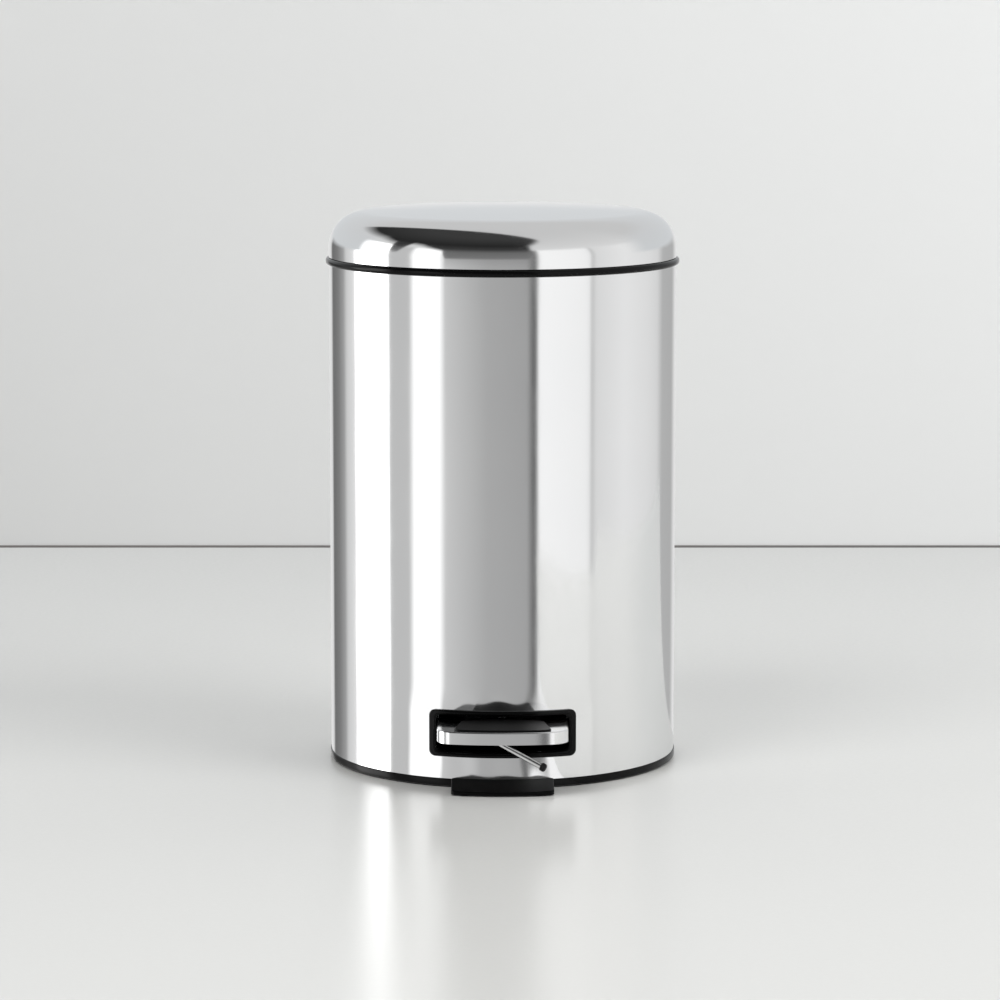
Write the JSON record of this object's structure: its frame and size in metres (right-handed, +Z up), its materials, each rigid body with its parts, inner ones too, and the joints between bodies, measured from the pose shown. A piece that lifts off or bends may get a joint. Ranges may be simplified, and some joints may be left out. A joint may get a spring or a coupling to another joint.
{
  "type": "pedal trash can",
  "caption": "Round step-on waste bin with a polished steel body, domed steel lid, plastic base and rim, a foot pedal that lifts the lid through a rod, and an inner bucket.",
  "frame": {"origin": "on the floor, on the axis of the round body", "axes": "+Z up, -Y towards the pedal, +X to the right of someone facing the pedal"},
  "size_m": [0.2546, 0.314, 0.4],
  "materials": {
    "polished_steel": "mirror-polished stainless steel sheet",
    "plain_steel": "zinc-plated pressed steel and wire",
    "gloss_black": "glossy black moulded plastic",
    "black_plastic": "satin black moulded plastic",
    "black_rubber": "matt black rubber",
    "bucket_plastic": "dark grey moulded plastic"
  },
  "bodies": {
    "root": {"body_shell": "polished_steel", "base_ring": "gloss_black", "front_foot": "black_plastic", "antislip_strip": "black_rubber", "foot_pads": "black_rubber", "inner_floor": "plain_steel", "axle_bracket": "plain_steel", "bracket_rivets": "plain_steel", "lever_axle": "plain_steel", "axle_clip": "plain_steel", "axle_spacers": "black_plastic", "pedal_frame": "gloss_black", "rod_guides": "black_plastic", "hinge_bracket": "plain_steel", "hinge_rivets": "plain_steel", "hinge_pin": "plain_steel", "hinge_clip": "plain_steel", "hinge_cover": "black_plastic", "rim_ring": "gloss_black", "inner_bucket": "bucket_plastic", "bail_handle": "plain_steel", "bail_grip": "black_plastic"},
    "pedal": {"pedal_lever": "plain_steel", "pedal_plate": "polished_steel", "pedal_pad": "gloss_black", "pedal_rivets": "plain_steel", "stop_wire": "plain_steel", "stop_wire_cap": "black_rubber"},
    "rod": {"lift_rod": "plain_steel"},
    "lid": {"lid_shell": "polished_steel", "lid_liner": "black_plastic", "lid_bumpers": "black_rubber", "lid_hinge_arm": "plain_steel", "lid_rivets": "plain_steel"}
  },
  "joints": [
    {"name": "lid_open", "type": "hinge", "parent": "root", "child": "lid", "pos_m": [0, 0.1325, 0.362], "axis": [-1, 0, 0], "range_deg": [0, 80]},
    {"name": "pedal_press", "type": "hinge", "parent": "root", "child": "pedal", "pos_m": [0, -0.05, 0.038], "axis": [1, 0, 0], "range_deg": [0, 9.54]},
    {"name": "rod_lift", "type": "slide", "parent": "root", "child": "rod", "axis": [0, 0, 1], "range_m": [0, 0.02771]}
  ],
  "couplings": [
    {"joint": "pedal_press", "follows": "lid_open", "ratio": 0.11919},
    {"joint": "rod_lift", "follows": "lid_open", "m_per_rad": 0.019832}
  ]
}
